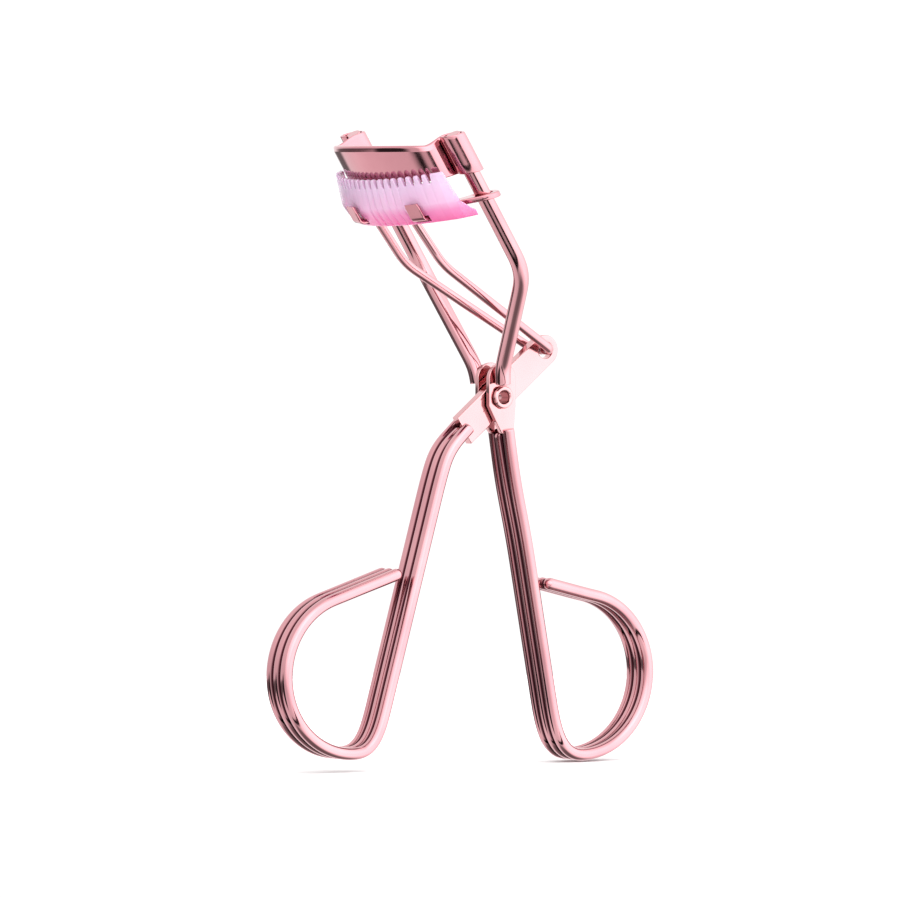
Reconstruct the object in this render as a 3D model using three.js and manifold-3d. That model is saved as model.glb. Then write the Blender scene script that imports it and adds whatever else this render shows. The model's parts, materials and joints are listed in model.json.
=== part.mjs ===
// Eyelash curler: two looped wire handles crossing at a rivet, a pair of guide wires with a curved upper
// jaw at their top, and a lower jaw with a silicone pad and a comb guard that slides on the guide wires.
// Millimetres. Z is up, Y is the rivet's axis, X is the direction in which the handles open.
// Everything is first placed from the rivet's centre, and the last lines move the whole tool on to z = 0.
import * as THREE from "three";
import { mergeVertices } from "three/addons/utils/BufferGeometryUtils.js";
import Module from "manifold-3d";

const wasm = await Module();
wasm.setup();

// ---- Driving dimensions ----------------------------------------------------------------------------
const FIT_GAP = 0.3; // left between pieces that touch on the real tool

const HANDLE_WIRE = 2.0; // diameter of the three wires of each handle
const HANDLE_PITCH = 2.1; // from one handle wire to the next, along Y
const HANDLE_BEND = 4.0; // length of the bends in the stalks

const GUIDE_WIRE = 2.6; // diameter of the two wires that carry the jaws
const GUIDE_HALF_SPAN = 14.8; // from the middle plane to a guide wire
const GUIDE_LENGTH = 26.3; // parallel part, from the bend to the top
const GUIDE_TILT = THREE.MathUtils.degToRad(32); // the guides lean back from upright
const JAW_DROP = THREE.MathUtils.degToRad(14); // the jaws' forward direction dips below level
const GUIDE_BEND = new THREE.Vector3(-4.35, 0, 20.9); // where the wires turn parallel
const GUIDE_BEND_LENGTH = 3.0;

const LINK_WIRE = 1.5; // diameter of the two wires that push the lower jaw
const LINK_BEND_LENGTH = 2.2;
const LEVER_HOLE = new THREE.Vector3(9.6, 0, 7.65);
const LEVER_HOLE_DIAMETER = 2.8;
const LEVER_TAIL = new THREE.Vector3(-6.4, 0, -5.3);
const LEVER_WIDTH = 5.1;
const LEVER_THICKNESS = 1.8;

const CLEVIS_INNER = 1.2; // inner face of each clevis plate, from the middle plane
const CLEVIS_OUTER = 2.1;
const CLEVIS_FOOT = -6.5; // lower edge of the clevis plates and top of the outer handle wires
const RIVET_BORE = 2.1;
const RIVET_SHANK = 3.0;
const RIVET_FLANGE = 3.8;
const RIVET_FLANGE_THICKNESS = 0.5;

const JAW_CENTRE = -12.0; // centre of the jaws' curve, behind the guide wires
const JAW_RADIUS = 21.7; // middle of the upper jaw's sheet
const JAW_HALF_ANGLE = THREE.MathUtils.degToRad(38.5);
const JAW_SEGMENTS = 96; // facets in a full turn of the jaws' curve
const SHEET = 0.8; // jaw sheet thickness
const UPPER_BOTTOM = 19.6; // heights along the guides, from the bend
const UPPER_TOP = 26.0;
const SLEEVE_TOP = 26.9;
const SLEEVE_WALL = 0.5;
const PAD_TOP = 15.3;
const PAD_CROWN = 0.5; // height of the bevels along the pad's top
const CHANNEL_BOTTOM = 12.6;
const CHANNEL_WALL_TOP = 14.5;
const CHANNEL_HALF_WIDTH = 1.6;
const CHANNEL_WALL = 0.6;
const CHANNEL_HALF_ANGLE = THREE.MathUtils.degToRad(36.0);
const CHEEK_THICKNESS = 0.9; // the plates that close the channel's ends
const EAR_BOTTOM = 14.4;
const EAR_TOP = 15.4;
const EAR_WALL = 1.0;

const COMB_BOTTOM = 12.4;
const COMB_KNEE = 15.8;
const COMB_TOP = 21.2;
const COMB_WALL = 0.9;
const COMB_FLARE = 0.6; // the skirt stands this much further out at its knee than at its bottom
const COMB_TIP_CLEARANCE = 0.6; // from the teeth to the upper jaw's face
const COMB_HALF_ANGLE = THREE.MathUtils.degToRad(38.5);
const COMB_TAIL_LENGTH = 2.4; // straight stretch at each end of the comb guard
const COMB_TAIL_TURN = THREE.MathUtils.degToRad(64); // its direction, from straight across
const COMB_TEETH = 21;
const COMB_SLOT_WIDTH = 0.7;
const COMB_SLOT_DEPTH = 2.0;
const CLIP_ANGLES = [THREE.MathUtils.degToRad(-25), THREE.MathUtils.degToRad(9)];
const CLIP_WIDTH = 2.6;
const CLIP_SHEET = 0.6;
const JOIN = 0.2; // how far joined shapes reach into each other

// ---- Materials -------------------------------------------------------------------------------------
const roseMetal = new THREE.MeshStandardMaterial({ color: 0xc98a92, metalness: 1, roughness: 0.16 });
const padSilicone = new THREE.MeshStandardMaterial({ color: 0xd2566f, metalness: 0, roughness: 0.55 });
const combPlastic = new THREE.MeshStandardMaterial({ color: 0xf9b8e4, metalness: 0, roughness: 0.25 });

// ---- Helpers ---------------------------------------------------------------------------------------
const curler = new THREE.Group();

function add(name, geometry, material) {
  const mesh = new THREE.Mesh(geometry, material);
  mesh.name = name;
  curler.add(mesh);
  return mesh;
}

function toSolid(geometry) {
  const bare = geometry.clone();
  bare.deleteAttribute("normal");
  bare.deleteAttribute("uv");
  const merged = mergeVertices(bare, 1e-4);
  const vertProperties = merged.attributes.position.array;
  const triVerts = new Uint32Array(merged.index.array);
  return new wasm.Manifold(new wasm.Mesh({ numProp: 3, vertProperties, triVerts }));
}

function toGeometry(solid) {
  const mesh = solid.getMesh();
  const geometry = new THREE.BufferGeometry();
  geometry.setAttribute("position", new THREE.BufferAttribute(mesh.vertProperties, 3));
  geometry.setIndex(new THREE.BufferAttribute(mesh.triVerts, 1));
  geometry.computeVertexNormals();
  return geometry;
}

// A point in the plane of the handles.
const inPlane = (x, z, y = 0) => new THREE.Vector3(x, y, z);

// Straight runs between the points, with each inner corner rounded by a bend of the given length.
function bentPath(points, bend) {
  const path = new THREE.CurvePath();
  let from = points[0];
  for (let i = 1; i < points.length - 1; i++) {
    const corner = points[i];
    const back = points[i - 1].clone().sub(corner);
    const ahead = points[i + 1].clone().sub(corner);
    const cut = Math.min(bend, back.length() / 2, ahead.length() / 2);
    const start = corner.clone().addScaledVector(back.normalize(), cut);
    const end = corner.clone().addScaledVector(ahead.normalize(), cut);
    path.add(new THREE.LineCurve3(from, start));
    path.add(new THREE.QuadraticBezierCurve3(start, corner, end));
    from = end;
  }
  path.add(new THREE.LineCurve3(from, points[points.length - 1]));
  return path;
}

// A round wire along a path.
function wire(path, diameter, steps, sides = 8) {
  const section = new THREE.Shape();
  for (let i = 0; i < sides; i++) {
    const angle = (2 * Math.PI * i) / sides;
    const x = (diameter / 2) * Math.cos(angle);
    const y = (diameter / 2) * Math.sin(angle);
    if (i === 0) section.moveTo(x, y);
    else section.lineTo(x, y);
  }
  section.closePath();
  return new THREE.ExtrudeGeometry(section, { steps, bevelEnabled: false, extrudePath: path });
}

// A flat plate in the X-Z plane, from one Y to another.
function plate(shape, yFrom, yTo, curveSegments = 10) {
  const depth = yTo - yFrom;
  const geometry = new THREE.ExtrudeGeometry(shape, { depth, bevelEnabled: false, curveSegments });
  geometry.rotateX(Math.PI / 2); // the shape's y becomes z, and its depth runs towards -Y
  geometry.translate(0, yTo, 0);
  return geometry;
}

// The head's own axes: x across the jaws, y forward, z up along the guides. They are not square to each
// other: the jaws' forward direction dips towards the guides' lean.
const guideDirection = new THREE.Vector3(-Math.sin(GUIDE_TILT), 0, Math.cos(GUIDE_TILT));
const forward = new THREE.Vector3(-Math.cos(JAW_DROP), 0, -Math.sin(JAW_DROP));
const headMatrix = new THREE.Matrix4()
  .makeBasis(new THREE.Vector3(0, 1, 0), forward, guideDirection)
  .setPosition(GUIDE_BEND);
const headSkew = Math.sqrt(1 - guideDirection.dot(forward) ** 2);
const headPoint = (across, ahead, up) => new THREE.Vector3(across, ahead, up).applyMatrix4(headMatrix);

// An upright prism in the head's axes, between two heights.
function headPrism(shape, bottom, top, curveSegments = 12) {
  const options = { depth: top - bottom, bevelEnabled: false, curveSegments };
  const geometry = new THREE.ExtrudeGeometry(shape, options);
  geometry.translate(0, 0, bottom);
  return geometry;
}

// A ring of the given radius-height profile about the jaws' centre, kept within an angle each way.
function jawSector(profile, halfAngle) {
  const points = profile.map(([radius, height]) => new THREE.Vector2(radius, height));
  points.push(points[0].clone());
  const ring = new THREE.LatheGeometry(points, JAW_SEGMENTS);
  ring.rotateX(Math.PI / 2);
  ring.translate(0, JAW_CENTRE, 0);
  const reach = 60;
  const wedge = new THREE.Shape();
  wedge.moveTo(0, JAW_CENTRE);
  wedge.lineTo(reach * Math.sin(halfAngle), JAW_CENTRE + reach * Math.cos(halfAngle));
  wedge.lineTo(-reach * Math.sin(halfAngle), JAW_CENTRE + reach * Math.cos(halfAngle));
  wedge.closePath();
  return toSolid(ring).intersect(toSolid(headPrism(wedge, 0, GUIDE_LENGTH + 10)));
}

// A block that stands on the jaws' curve at an angle, between two radii and two heights.
function jawBlock(angle, width, innerRadius, outerRadius, bottom, top) {
  const block = new THREE.BoxGeometry(width, outerRadius - innerRadius, top - bottom);
  block.translate(0, (innerRadius + outerRadius) / 2, (bottom + top) / 2);
  block.rotateZ(-angle);
  block.translate(0, JAW_CENTRE, 0);
  return toSolid(block);
}

// A round post or hole about a guide wire, as the head's skewed axes see it.
function aboutGuide(side, diameter, bottom, top, sides = 24) {
  const shape = new THREE.Shape();
  const radius = diameter / 2;
  shape.absellipse(side * GUIDE_HALF_SPAN, 0, radius, radius / headSkew, 0, 2 * Math.PI);
  return toSolid(headPrism(shape, bottom, top, sides));
}

const jawPoint = (radius, angle) => [radius * Math.sin(angle), JAW_CENTRE + radius * Math.cos(angle)];

function toHead(solid) {
  return toGeometry(solid).applyMatrix4(headMatrix);
}

// ---- Handles ---------------------------------------------------------------------------------------
// Each handle is three wires side by side: a stalk, a tight bend at its foot, and a round finger loop
// that comes back to the stalk in a straight run.
function handlePath(handle, start, y) {
  const [centreX, centreZ] = handle.loopCentre;
  const arcPoint = (angle, radius = handle.loopRadius) =>
    inPlane(centreX + radius * Math.cos(angle), centreZ + radius * Math.sin(angle), y);
  const stalk = [start, ...handle.stalk].map(([x, z]) => inPlane(x, z, y));
  const [footStart, footEnd] = handle.foot.map(([x, z]) => inPlane(x, z, y));
  const path = bentPath(stalk, HANDLE_BEND);
  const loopStart = arcPoint(handle.arcFrom);
  path.add(new THREE.CubicBezierCurve3(stalk[stalk.length - 1], footStart, footEnd, loopStart));
  // The round stretch, in short pieces that each follow the circle closely.
  const pieces = 6;
  const step = (handle.arcTo - handle.arcFrom) / pieces;
  const controlRadius = handle.loopRadius / Math.cos(step / 2);
  for (let i = 0; i < pieces; i++) {
    const from = handle.arcFrom + i * step;
    const control = arcPoint(from + step / 2, controlRadius);
    path.add(new THREE.QuadraticBezierCurve3(arcPoint(from), control, arcPoint(from + step)));
  }
  path.add(new THREE.LineCurve3(arcPoint(handle.arcTo), inPlane(...handle.tip, y)));
  return path;
}

const degrees = THREE.MathUtils.degToRad;

// The frame handle: its outer wires carry the clevis plates, and its middle wire ends just above their feet.
const frameHandle = {
  name: "right_handle",
  outerStart: [1.35, CLEVIS_FOOT],
  middleStart: [1.0, -5.6],
  stalk: [[2.5, -13.7], [4.8, -23.6], [10.0, -51.5]],
  foot: [[11.0, -56.4], [12.2, -59.7]],
  loopCentre: [16.1, -46.6],
  loopRadius: 13.4,
  arcFrom: degrees(268),
  arcTo: degrees(442),
  tip: [8.6, -31.0],
};

// The lever handle: its middle wire ends at the lever plate's tail, and its outer wires lie beside the plate.
const leverHandle = {
  name: "left_handle",
  outerStart: [-6.9, -5.2],
  middleStart: [-7.5, -6.1],
  stalk: [[-10.6, -8.6], [-12.3, -13.4], [-23.2, -50.8]],
  foot: [[-24.5, -55.4], [-25.8, -58.2]],
  loopCentre: [-29.7, -45.2],
  loopRadius: 13.0,
  arcFrom: degrees(272),
  arcTo: degrees(104),
  tip: [-20.2, -28.6],
};

const WIRE_STEPS = 60;
for (const handle of [frameHandle, leverHandle]) {
  for (const [place, side] of [["front", -1], ["middle", 0], ["rear", 1]]) {
    const start = side === 0 ? handle.middleStart : handle.outerStart;
    const path = handlePath(handle, start, side * HANDLE_PITCH);
    add(`${handle.name}_${place}_wire`, wire(path, HANDLE_WIRE, WIRE_STEPS), roseMetal);
  }
}

// ---- Pivot: clevis plates, lever plate and hollow rivet -----------------------------------------
for (const [place, side] of [["front", -1], ["rear", 1]]) {
  const outline = new THREE.Shape();
  outline.moveTo(-2.6, -1.4);
  outline.lineTo(-0.2, -5.8);
  outline.lineTo(0.3, CLEVIS_FOOT + FIT_GAP);
  outline.lineTo(2.4, CLEVIS_FOOT + FIT_GAP);
  outline.lineTo(2.8, -1.4);
  outline.absarc(0.1, 3.0, 2.7, 0, Math.PI, false);
  outline.closePath();
  const bore = new THREE.Path().absarc(0, 0, RIVET_SHANK / 2 + FIT_GAP, 0, 2 * Math.PI, true);
  outline.holes.push(bore);
  const inner = side * CLEVIS_INNER;
  const outer = side * CLEVIS_OUTER;
  const geometry = plate(outline, Math.min(inner, outer), Math.max(inner, outer));
  add(`${place}_clevis_plate`, geometry, roseMetal);
}

const leverAxis = LEVER_HOLE.clone().sub(LEVER_TAIL);
const leverAngle = Math.atan2(leverAxis.z, leverAxis.x);
const leverOutline = new THREE.Shape();
const tailSlant = 0.6; // the plate's lower corner reaches this much further than its upper one
leverOutline.moveTo(-tailSlant, -LEVER_WIDTH / 2);
leverOutline.lineTo(leverAxis.length(), -LEVER_WIDTH / 2);
leverOutline.absarc(leverAxis.length(), 0, LEVER_WIDTH / 2, -Math.PI / 2, Math.PI / 2, false);
leverOutline.lineTo(0, LEVER_WIDTH / 2);
leverOutline.closePath();
const pivotAlong = -LEVER_TAIL.dot(leverAxis.clone().normalize());
const pivotAside = LEVER_TAIL.x * Math.sin(leverAngle) - LEVER_TAIL.z * Math.cos(leverAngle);
const leverBores = [
  [pivotAlong, pivotAside, RIVET_SHANK / 2 + FIT_GAP],
  [leverAxis.length(), 0, LEVER_HOLE_DIAMETER / 2],
];
for (const [x, y, radius] of leverBores) {
  leverOutline.holes.push(new THREE.Path().absarc(x, y, radius, 0, 2 * Math.PI, true));
}
const leverGeometry = plate(leverOutline, -LEVER_THICKNESS / 2, LEVER_THICKNESS / 2);
leverGeometry.rotateY(-leverAngle);
leverGeometry.translate(LEVER_TAIL.x, 0, LEVER_TAIL.z);
add("lever_plate", leverGeometry, roseMetal);

const flangeInner = CLEVIS_OUTER + FIT_GAP;
const flangeOuter = flangeInner + RIVET_FLANGE_THICKNESS;
const rivetProfile = [
  [RIVET_BORE / 2, -flangeOuter],
  [RIVET_FLANGE / 2, -flangeOuter],
  [RIVET_FLANGE / 2, -flangeInner],
  [RIVET_SHANK / 2, -flangeInner],
  [RIVET_SHANK / 2, flangeInner],
  [RIVET_FLANGE / 2, flangeInner],
  [RIVET_FLANGE / 2, flangeOuter],
  [RIVET_BORE / 2, flangeOuter],
  [RIVET_BORE / 2, -flangeOuter],
];
const rivetPoints = rivetProfile.map(([radius, y]) => new THREE.Vector2(radius, y));
add("pivot_rivet", new THREE.LatheGeometry(rivetPoints, 24), roseMetal);

// ---- Guide wires ---------------------------------------------------------------------------------
const guideFoot = CLEVIS_OUTER + FIT_GAP + GUIDE_WIRE / 2;
const footSplay = 0.3; // the wires lean outwards this much over their flat feet
const GUIDE_SIDES = 12;
const GUIDE_STEPS = 26;
for (const [place, side] of [["front", -1], ["rear", 1]]) {
  const path = bentPath(
    [
      new THREE.Vector3(-0.9, side * guideFoot, RIVET_FLANGE / 2 + FIT_GAP),
      new THREE.Vector3(-1.2, side * (guideFoot + footSplay), 4.8),
      new THREE.Vector3(GUIDE_BEND.x, side * GUIDE_HALF_SPAN, GUIDE_BEND.z),
      headPoint(side * GUIDE_HALF_SPAN, 0, GUIDE_LENGTH),
    ],
    GUIDE_BEND_LENGTH,
  );
  add(`${place}_guide_wire`, wire(path, GUIDE_WIRE, GUIDE_STEPS, GUIDE_SIDES), roseMetal);
}

// ---- Upper jaw: one curved sheet with its ends rolled round the guide wires --------------------------
const guideHole = GUIDE_WIRE + 2 * FIT_GAP;
const sleeveOuter = guideHole + 2 * SLEEVE_WALL;
const wingMeets = 1.8; // ahead of the guide wire's axis, inside the sleeve's wall
let upperJaw = jawSector(
  [
    [JAW_RADIUS - SHEET / 2, UPPER_BOTTOM],
    [JAW_RADIUS + SHEET / 2, UPPER_BOTTOM],
    [JAW_RADIUS + SHEET / 2, UPPER_TOP],
    [JAW_RADIUS - SHEET / 2, UPPER_TOP],
  ],
  JAW_HALF_ANGLE,
);
for (const side of [-1, 1]) {
  const [cornerX, cornerY] = jawPoint(JAW_RADIUS, side * JAW_HALF_ANGLE);
  const half = side * (SHEET / 2);
  const wing = new THREE.Shape();
  wing.moveTo(cornerX - half, cornerY + JOIN);
  wing.lineTo(cornerX + half, cornerY + JOIN);
  wing.lineTo(side * (GUIDE_HALF_SPAN + 0.1), wingMeets);
  wing.lineTo(side * (GUIDE_HALF_SPAN - 1.1), wingMeets);
  wing.closePath();
  upperJaw = upperJaw.add(toSolid(headPrism(wing, UPPER_BOTTOM, UPPER_TOP)));
  upperJaw = upperJaw.add(aboutGuide(side, sleeveOuter, UPPER_BOTTOM, SLEEVE_TOP));
}
for (const side of [-1, 1]) {
  upperJaw = upperJaw.subtract(aboutGuide(side, guideHole, UPPER_BOTTOM - 1, SLEEVE_TOP + 1));
}
add("upper_jaw", toHead(upperJaw), roseMetal);

// ---- Lower jaw: a curved channel with an ear round each guide wire, and two clips for the comb ------
const channelInner = JAW_RADIUS - CHANNEL_HALF_WIDTH;
const channelOuter = JAW_RADIUS + CHANNEL_HALF_WIDTH;
let lowerJaw = jawSector(
  [
    [channelInner, CHANNEL_BOTTOM],
    [channelOuter, CHANNEL_BOTTOM],
    [channelOuter, CHANNEL_WALL_TOP],
    [channelOuter - CHANNEL_WALL, CHANNEL_WALL_TOP],
    [channelOuter - CHANNEL_WALL, CHANNEL_BOTTOM + SHEET],
    [channelInner + CHANNEL_WALL, CHANNEL_BOTTOM + SHEET],
    [channelInner + CHANNEL_WALL, CHANNEL_WALL_TOP],
    [channelInner, CHANNEL_WALL_TOP],
  ],
  CHANNEL_HALF_ANGLE,
);
const earOuter = guideHole + 2 * EAR_WALL;
for (const side of [-1, 1]) {
  // A cheek closes the channel's end, and the ear reaches from it back to the guide wire.
  const cheekAngle = side * (CHANNEL_HALF_ANGLE + CHEEK_THICKNESS / 2 / JAW_RADIUS);
  const cheekDepth = CHEEK_THICKNESS + JOIN;
  const cheek = jawBlock(cheekAngle, cheekDepth, channelInner, channelOuter, CHANNEL_BOTTOM, EAR_TOP);
  const [rootX, rootY] = jawPoint(JAW_RADIUS, side * CHANNEL_HALF_ANGLE);
  const ear = new THREE.Shape();
  ear.moveTo(rootX - side * 0.4, rootY - CHANNEL_HALF_WIDTH);
  ear.lineTo(rootX + side * 1.0, rootY + 0.4);
  ear.lineTo(side * (GUIDE_HALF_SPAN + 1.2), 1.7);
  ear.lineTo(side * (GUIDE_HALF_SPAN - 1.8), 1.0);
  ear.closePath();
  lowerJaw = lowerJaw.add(cheek).add(toSolid(headPrism(ear, EAR_BOTTOM, EAR_TOP)));
  lowerJaw = lowerJaw.add(aboutGuide(side, earOuter, EAR_BOTTOM, EAR_TOP));
}
for (const side of [-1, 1]) {
  lowerJaw = lowerJaw.subtract(aboutGuide(side, guideHole, EAR_BOTTOM - 1, EAR_TOP + 1));
}

const combBottomInner = channelOuter + FIT_GAP;
const combBottomOuter = combBottomInner + COMB_WALL;
const combKneeOuter = combBottomOuter + COMB_FLARE;
const combTipInner = JAW_RADIUS + SHEET / 2 + COMB_TIP_CLEARANCE;
const clipInner = combKneeOuter + FIT_GAP;
const clipFoot = CHANNEL_BOTTOM + 0.5; // the clips come through the comb's wall at this height
for (const angle of CLIP_ANGLES) {
  const outside = clipInner + CLIP_SHEET;
  const foot = jawBlock(angle, CLIP_WIDTH, channelOuter - JOIN, outside, clipFoot, clipFoot + CLIP_SHEET);
  const tab = jawBlock(angle, CLIP_WIDTH, clipInner, outside, clipFoot, COMB_KNEE);
  lowerJaw = lowerJaw.add(foot).add(tab);
}
add("lower_jaw", toHead(lowerJaw), roseMetal);

// ---- Silicone pad in the channel ---------------------------------------------------------------
const padHalf = CHANNEL_HALF_WIDTH - CHANNEL_WALL - FIT_GAP / 2;
const padHalfAngle = CHANNEL_HALF_ANGLE - FIT_GAP / JAW_RADIUS;
const pad = jawSector(
  [
    [JAW_RADIUS - padHalf, CHANNEL_BOTTOM + SHEET + FIT_GAP],
    [JAW_RADIUS + padHalf, CHANNEL_BOTTOM + SHEET + FIT_GAP],
    [JAW_RADIUS + padHalf, PAD_TOP - PAD_CROWN],
    [JAW_RADIUS + padHalf / 2, PAD_TOP],
    [JAW_RADIUS - padHalf / 2, PAD_TOP],
    [JAW_RADIUS - padHalf, PAD_TOP - PAD_CROWN],
  ],
  padHalfAngle,
);
add("silicone_pad", toHead(pad), padSilicone);

// ---- Comb guard: a curved skirt in front of the lower jaw, cut into rounded teeth at its top --------
const combProfile = [
  [combBottomInner, COMB_BOTTOM],
  [combBottomOuter, COMB_BOTTOM],
  [combKneeOuter, COMB_KNEE],
  [combTipInner + COMB_WALL, COMB_TOP],
  [combTipInner, COMB_TOP],
  [combKneeOuter - COMB_WALL, COMB_KNEE],
];

// The comb's profile carried straight on, past the end of its curve.
function combTail(side) {
  const profile = new THREE.Shape(
    combProfile.map(([radius, height]) => new THREE.Vector2(side * (radius - JAW_RADIUS), height)),
  );
  const rooted = 0.6; // the tail starts this far back inside the curve
  const depth = rooted + COMB_TAIL_LENGTH;
  const tail = new THREE.ExtrudeGeometry(profile, { depth, bevelEnabled: false });
  tail.translate(0, 0, -rooted);
  const along = new THREE.Vector3(side * Math.cos(COMB_TAIL_TURN), -Math.sin(COMB_TAIL_TURN), 0);
  const up = new THREE.Vector3(0, 0, 1);
  const across = up.clone().cross(along);
  const [x, y] = jawPoint(JAW_RADIUS, side * COMB_HALF_ANGLE);
  tail.applyMatrix4(new THREE.Matrix4().makeBasis(across, up, along).setPosition(x, y, 0));
  return toSolid(tail);
}

let comb = jawSector(combProfile, COMB_HALF_ANGLE).add(combTail(-1)).add(combTail(1));
for (const angle of CLIP_ANGLES) {
  const width = CLIP_WIDTH + 2 * FIT_GAP;
  const bottom = clipFoot - FIT_GAP;
  const top = clipFoot + CLIP_SHEET + FIT_GAP;
  comb = comb.subtract(jawBlock(angle, width, combBottomInner - 1, combKneeOuter + 1, bottom, top));
}
const toothAngle = (2 * COMB_HALF_ANGLE) / COMB_TEETH;
const slotBottom = COMB_TOP - COMB_SLOT_DEPTH;
for (let i = 1; i < COMB_TEETH; i++) {
  const angle = -COMB_HALF_ANGLE + i * toothAngle;
  const inner = combTipInner - 1;
  const outer = combKneeOuter + 1;
  comb = comb.subtract(jawBlock(angle, COMB_SLOT_WIDTH, inner, outer, slotBottom, COMB_TOP + 1));
}
add("comb_guard", toHead(comb), combPlastic);

// ---- Link wires: hooked into the lever's hole from each side, and running up under the lower jaw ----
const linkBeside = 2.7; // from the middle plane, next to the lever
const linkSpread = 5.5; // from the middle plane, under the lower jaw
const linkTopAhead = JAW_CENTRE + JAW_RADIUS - 0.7;
const LINK_STEPS = 34;
for (const [place, side] of [["front", -1], ["rear", 1]]) {
  const path = bentPath(
    [
      new THREE.Vector3(LEVER_HOLE.x, side * (FIT_GAP / 2), LEVER_HOLE.z),
      new THREE.Vector3(LEVER_HOLE.x, side * linkBeside, LEVER_HOLE.z),
      new THREE.Vector3(-14.1, side * 5.6, 22.1),
      headPoint(side * linkSpread, linkTopAhead, CHANNEL_BOTTOM - FIT_GAP),
    ],
    LINK_BEND_LENGTH,
  );
  add(`${place}_link_wire`, wire(path, LINK_WIRE, LINK_STEPS), roseMetal);
}

// ---- Stand the tool on its loops, with its middle over the origin -----------------------------------
curler.updateMatrixWorld(true);
const box = new THREE.Box3().setFromObject(curler, true);
curler.position.set(-(box.min.x + box.max.x) / 2, -(box.min.y + box.max.y) / 2, -box.min.z);
curler.updateMatrixWorld(true);

export default curler;
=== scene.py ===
"""Eyelash curler: fine surfaces, materials, floor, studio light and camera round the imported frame."""

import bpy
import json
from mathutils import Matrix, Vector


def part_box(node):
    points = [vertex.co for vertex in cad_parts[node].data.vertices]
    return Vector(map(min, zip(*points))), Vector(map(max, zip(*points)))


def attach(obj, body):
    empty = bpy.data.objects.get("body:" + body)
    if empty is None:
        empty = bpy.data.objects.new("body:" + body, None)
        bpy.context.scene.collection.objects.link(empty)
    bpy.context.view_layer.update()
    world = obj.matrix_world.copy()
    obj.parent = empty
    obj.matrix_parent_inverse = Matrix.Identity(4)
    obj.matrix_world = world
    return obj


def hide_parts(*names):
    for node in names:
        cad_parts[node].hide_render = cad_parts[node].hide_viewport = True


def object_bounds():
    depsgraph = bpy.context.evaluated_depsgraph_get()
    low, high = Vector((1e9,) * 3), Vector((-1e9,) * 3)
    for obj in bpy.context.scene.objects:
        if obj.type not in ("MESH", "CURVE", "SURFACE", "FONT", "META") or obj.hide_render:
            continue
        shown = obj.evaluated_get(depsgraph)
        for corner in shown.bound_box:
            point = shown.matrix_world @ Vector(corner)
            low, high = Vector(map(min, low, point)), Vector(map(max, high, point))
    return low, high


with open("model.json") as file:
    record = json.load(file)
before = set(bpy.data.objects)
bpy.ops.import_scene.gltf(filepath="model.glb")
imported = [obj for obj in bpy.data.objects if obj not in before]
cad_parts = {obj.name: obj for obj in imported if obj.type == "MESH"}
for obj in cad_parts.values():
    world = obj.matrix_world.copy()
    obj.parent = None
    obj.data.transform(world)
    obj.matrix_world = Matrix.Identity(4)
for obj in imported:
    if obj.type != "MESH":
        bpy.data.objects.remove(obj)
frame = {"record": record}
cad_box = [list(corner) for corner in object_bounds()]

import json
import math

import bmesh
import bpy
from mathutils import Matrix, Vector

# ---- Where things are ---------------------------------------------------------------------------------
# Shapes are worked out in millimetres from the rivet's centre, as the tool is dimensioned, and are placed
# in the frame by the rivet.
MM = 0.001
rivet_low, rivet_high = (Vector(corner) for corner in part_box("pivot_rivet"))
PIVOT = (rivet_low + rivet_high) / 2
TO_FRAME = Matrix.Translation(PIVOT) @ Matrix.Scale(MM, 4)

# Handles, guide wires, links and lever
HANDLE_WIRE = 2.06
HANDLE_PITCH = 2.1
HANDLE_BEND = 4.0
SEAM_SHADE_FULL = 0.28  # how far from the joint between two handle wires the painted shade stays at its darkest
SEAM_SHADE_CLEAR = 0.48
GUIDE_WIRE = 2.6
LINK_WIRE = 1.5
GUIDE_HALF_SPAN = 14.8
GUIDE_LENGTH = 26.8
GUIDE_TILT = math.radians(32)
JAW_DROP = math.radians(14)
GUIDE_BEND = Vector((-4.35, 0, 20.9))
GUIDE_FOOT = 3.7
GUIDE_CORNER = 3.0
LINK_HALF_SPAN = 5.5
LINK_CORNER = 2.2
LEVER_HOLE = Vector((9.6, 0, 7.65))
LEVER_HOLE_RADIUS = 1.4
LEVER_TAIL = Vector((-6.4, 0, -5.3))
LEVER_WIDTH = 5.1
LEVER_THICKNESS = 1.8
LEVER_EDGE = 0.2

# Clevis plates and rivet
CLEVIS_INNER = 1.2
CLEVIS_OUTER = 2.1
CLEVIS_FOOT = -6.2
CLEVIS_TOP = (0.1, 3.0)
CLEVIS_TOP_RADIUS = 2.7
CLEVIS_CORNER = 0.5
CLEVIS_EDGE = 0.16
PLATE_CLEARANCE = 0.1
RIVET_BORE = 1.05
RIVET_SHANK = 1.5
RIVET_FLANGE = 1.9
RIVET_REACH = 2.9
RIVET_ROLL = 0.5

# Jaws
JAW_CENTRE = -12.0
JAW_RADIUS = 21.7
JAW_HALF_ANGLE = math.radians(38.5)
SHEET = 0.8
UPPER_BOTTOM = 19.6
UPPER_TOP = 26.0
SLEEVE_TOP = 26.9
SLEEVE_WALL = 0.5
SLEEVE_RADIUS = 1.85
SLEEVE_START = math.radians(180 - 6.6)
SLEEVE_TURN = math.radians(304)
CAMBER = 1.2
LIP_HEIGHT = 1.0  # the upper jaw's sheet leans back along its top edge
LIP_SLOPE = 0.34
CHANNEL_BOTTOM = 12.6
CHANNEL_TOP = 14.5
CHANNEL_HALF_WIDTH = 1.6
CHANNEL_HALF_ANGLE = math.radians(36)
CHANNEL_WALL = 0.6
CHEEK_THICKNESS = 0.9
CHEEK_JOIN = 0.1
CHEEK_CORNER = 1.1
EAR_BOTTOM = 14.4
EAR_TOP = 15.4
EAR_RADIUS = 2.6
EAR_RING_START = math.radians(150)
EAR_RING_TURN = math.radians(250)
EAR_EDGE = 0.22
GUIDE_HOLE = 1.6
PAD_BOTTOM = 13.5
PAD_TOP = 15.3
PAD_HALF_WIDTH = 0.85
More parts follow.
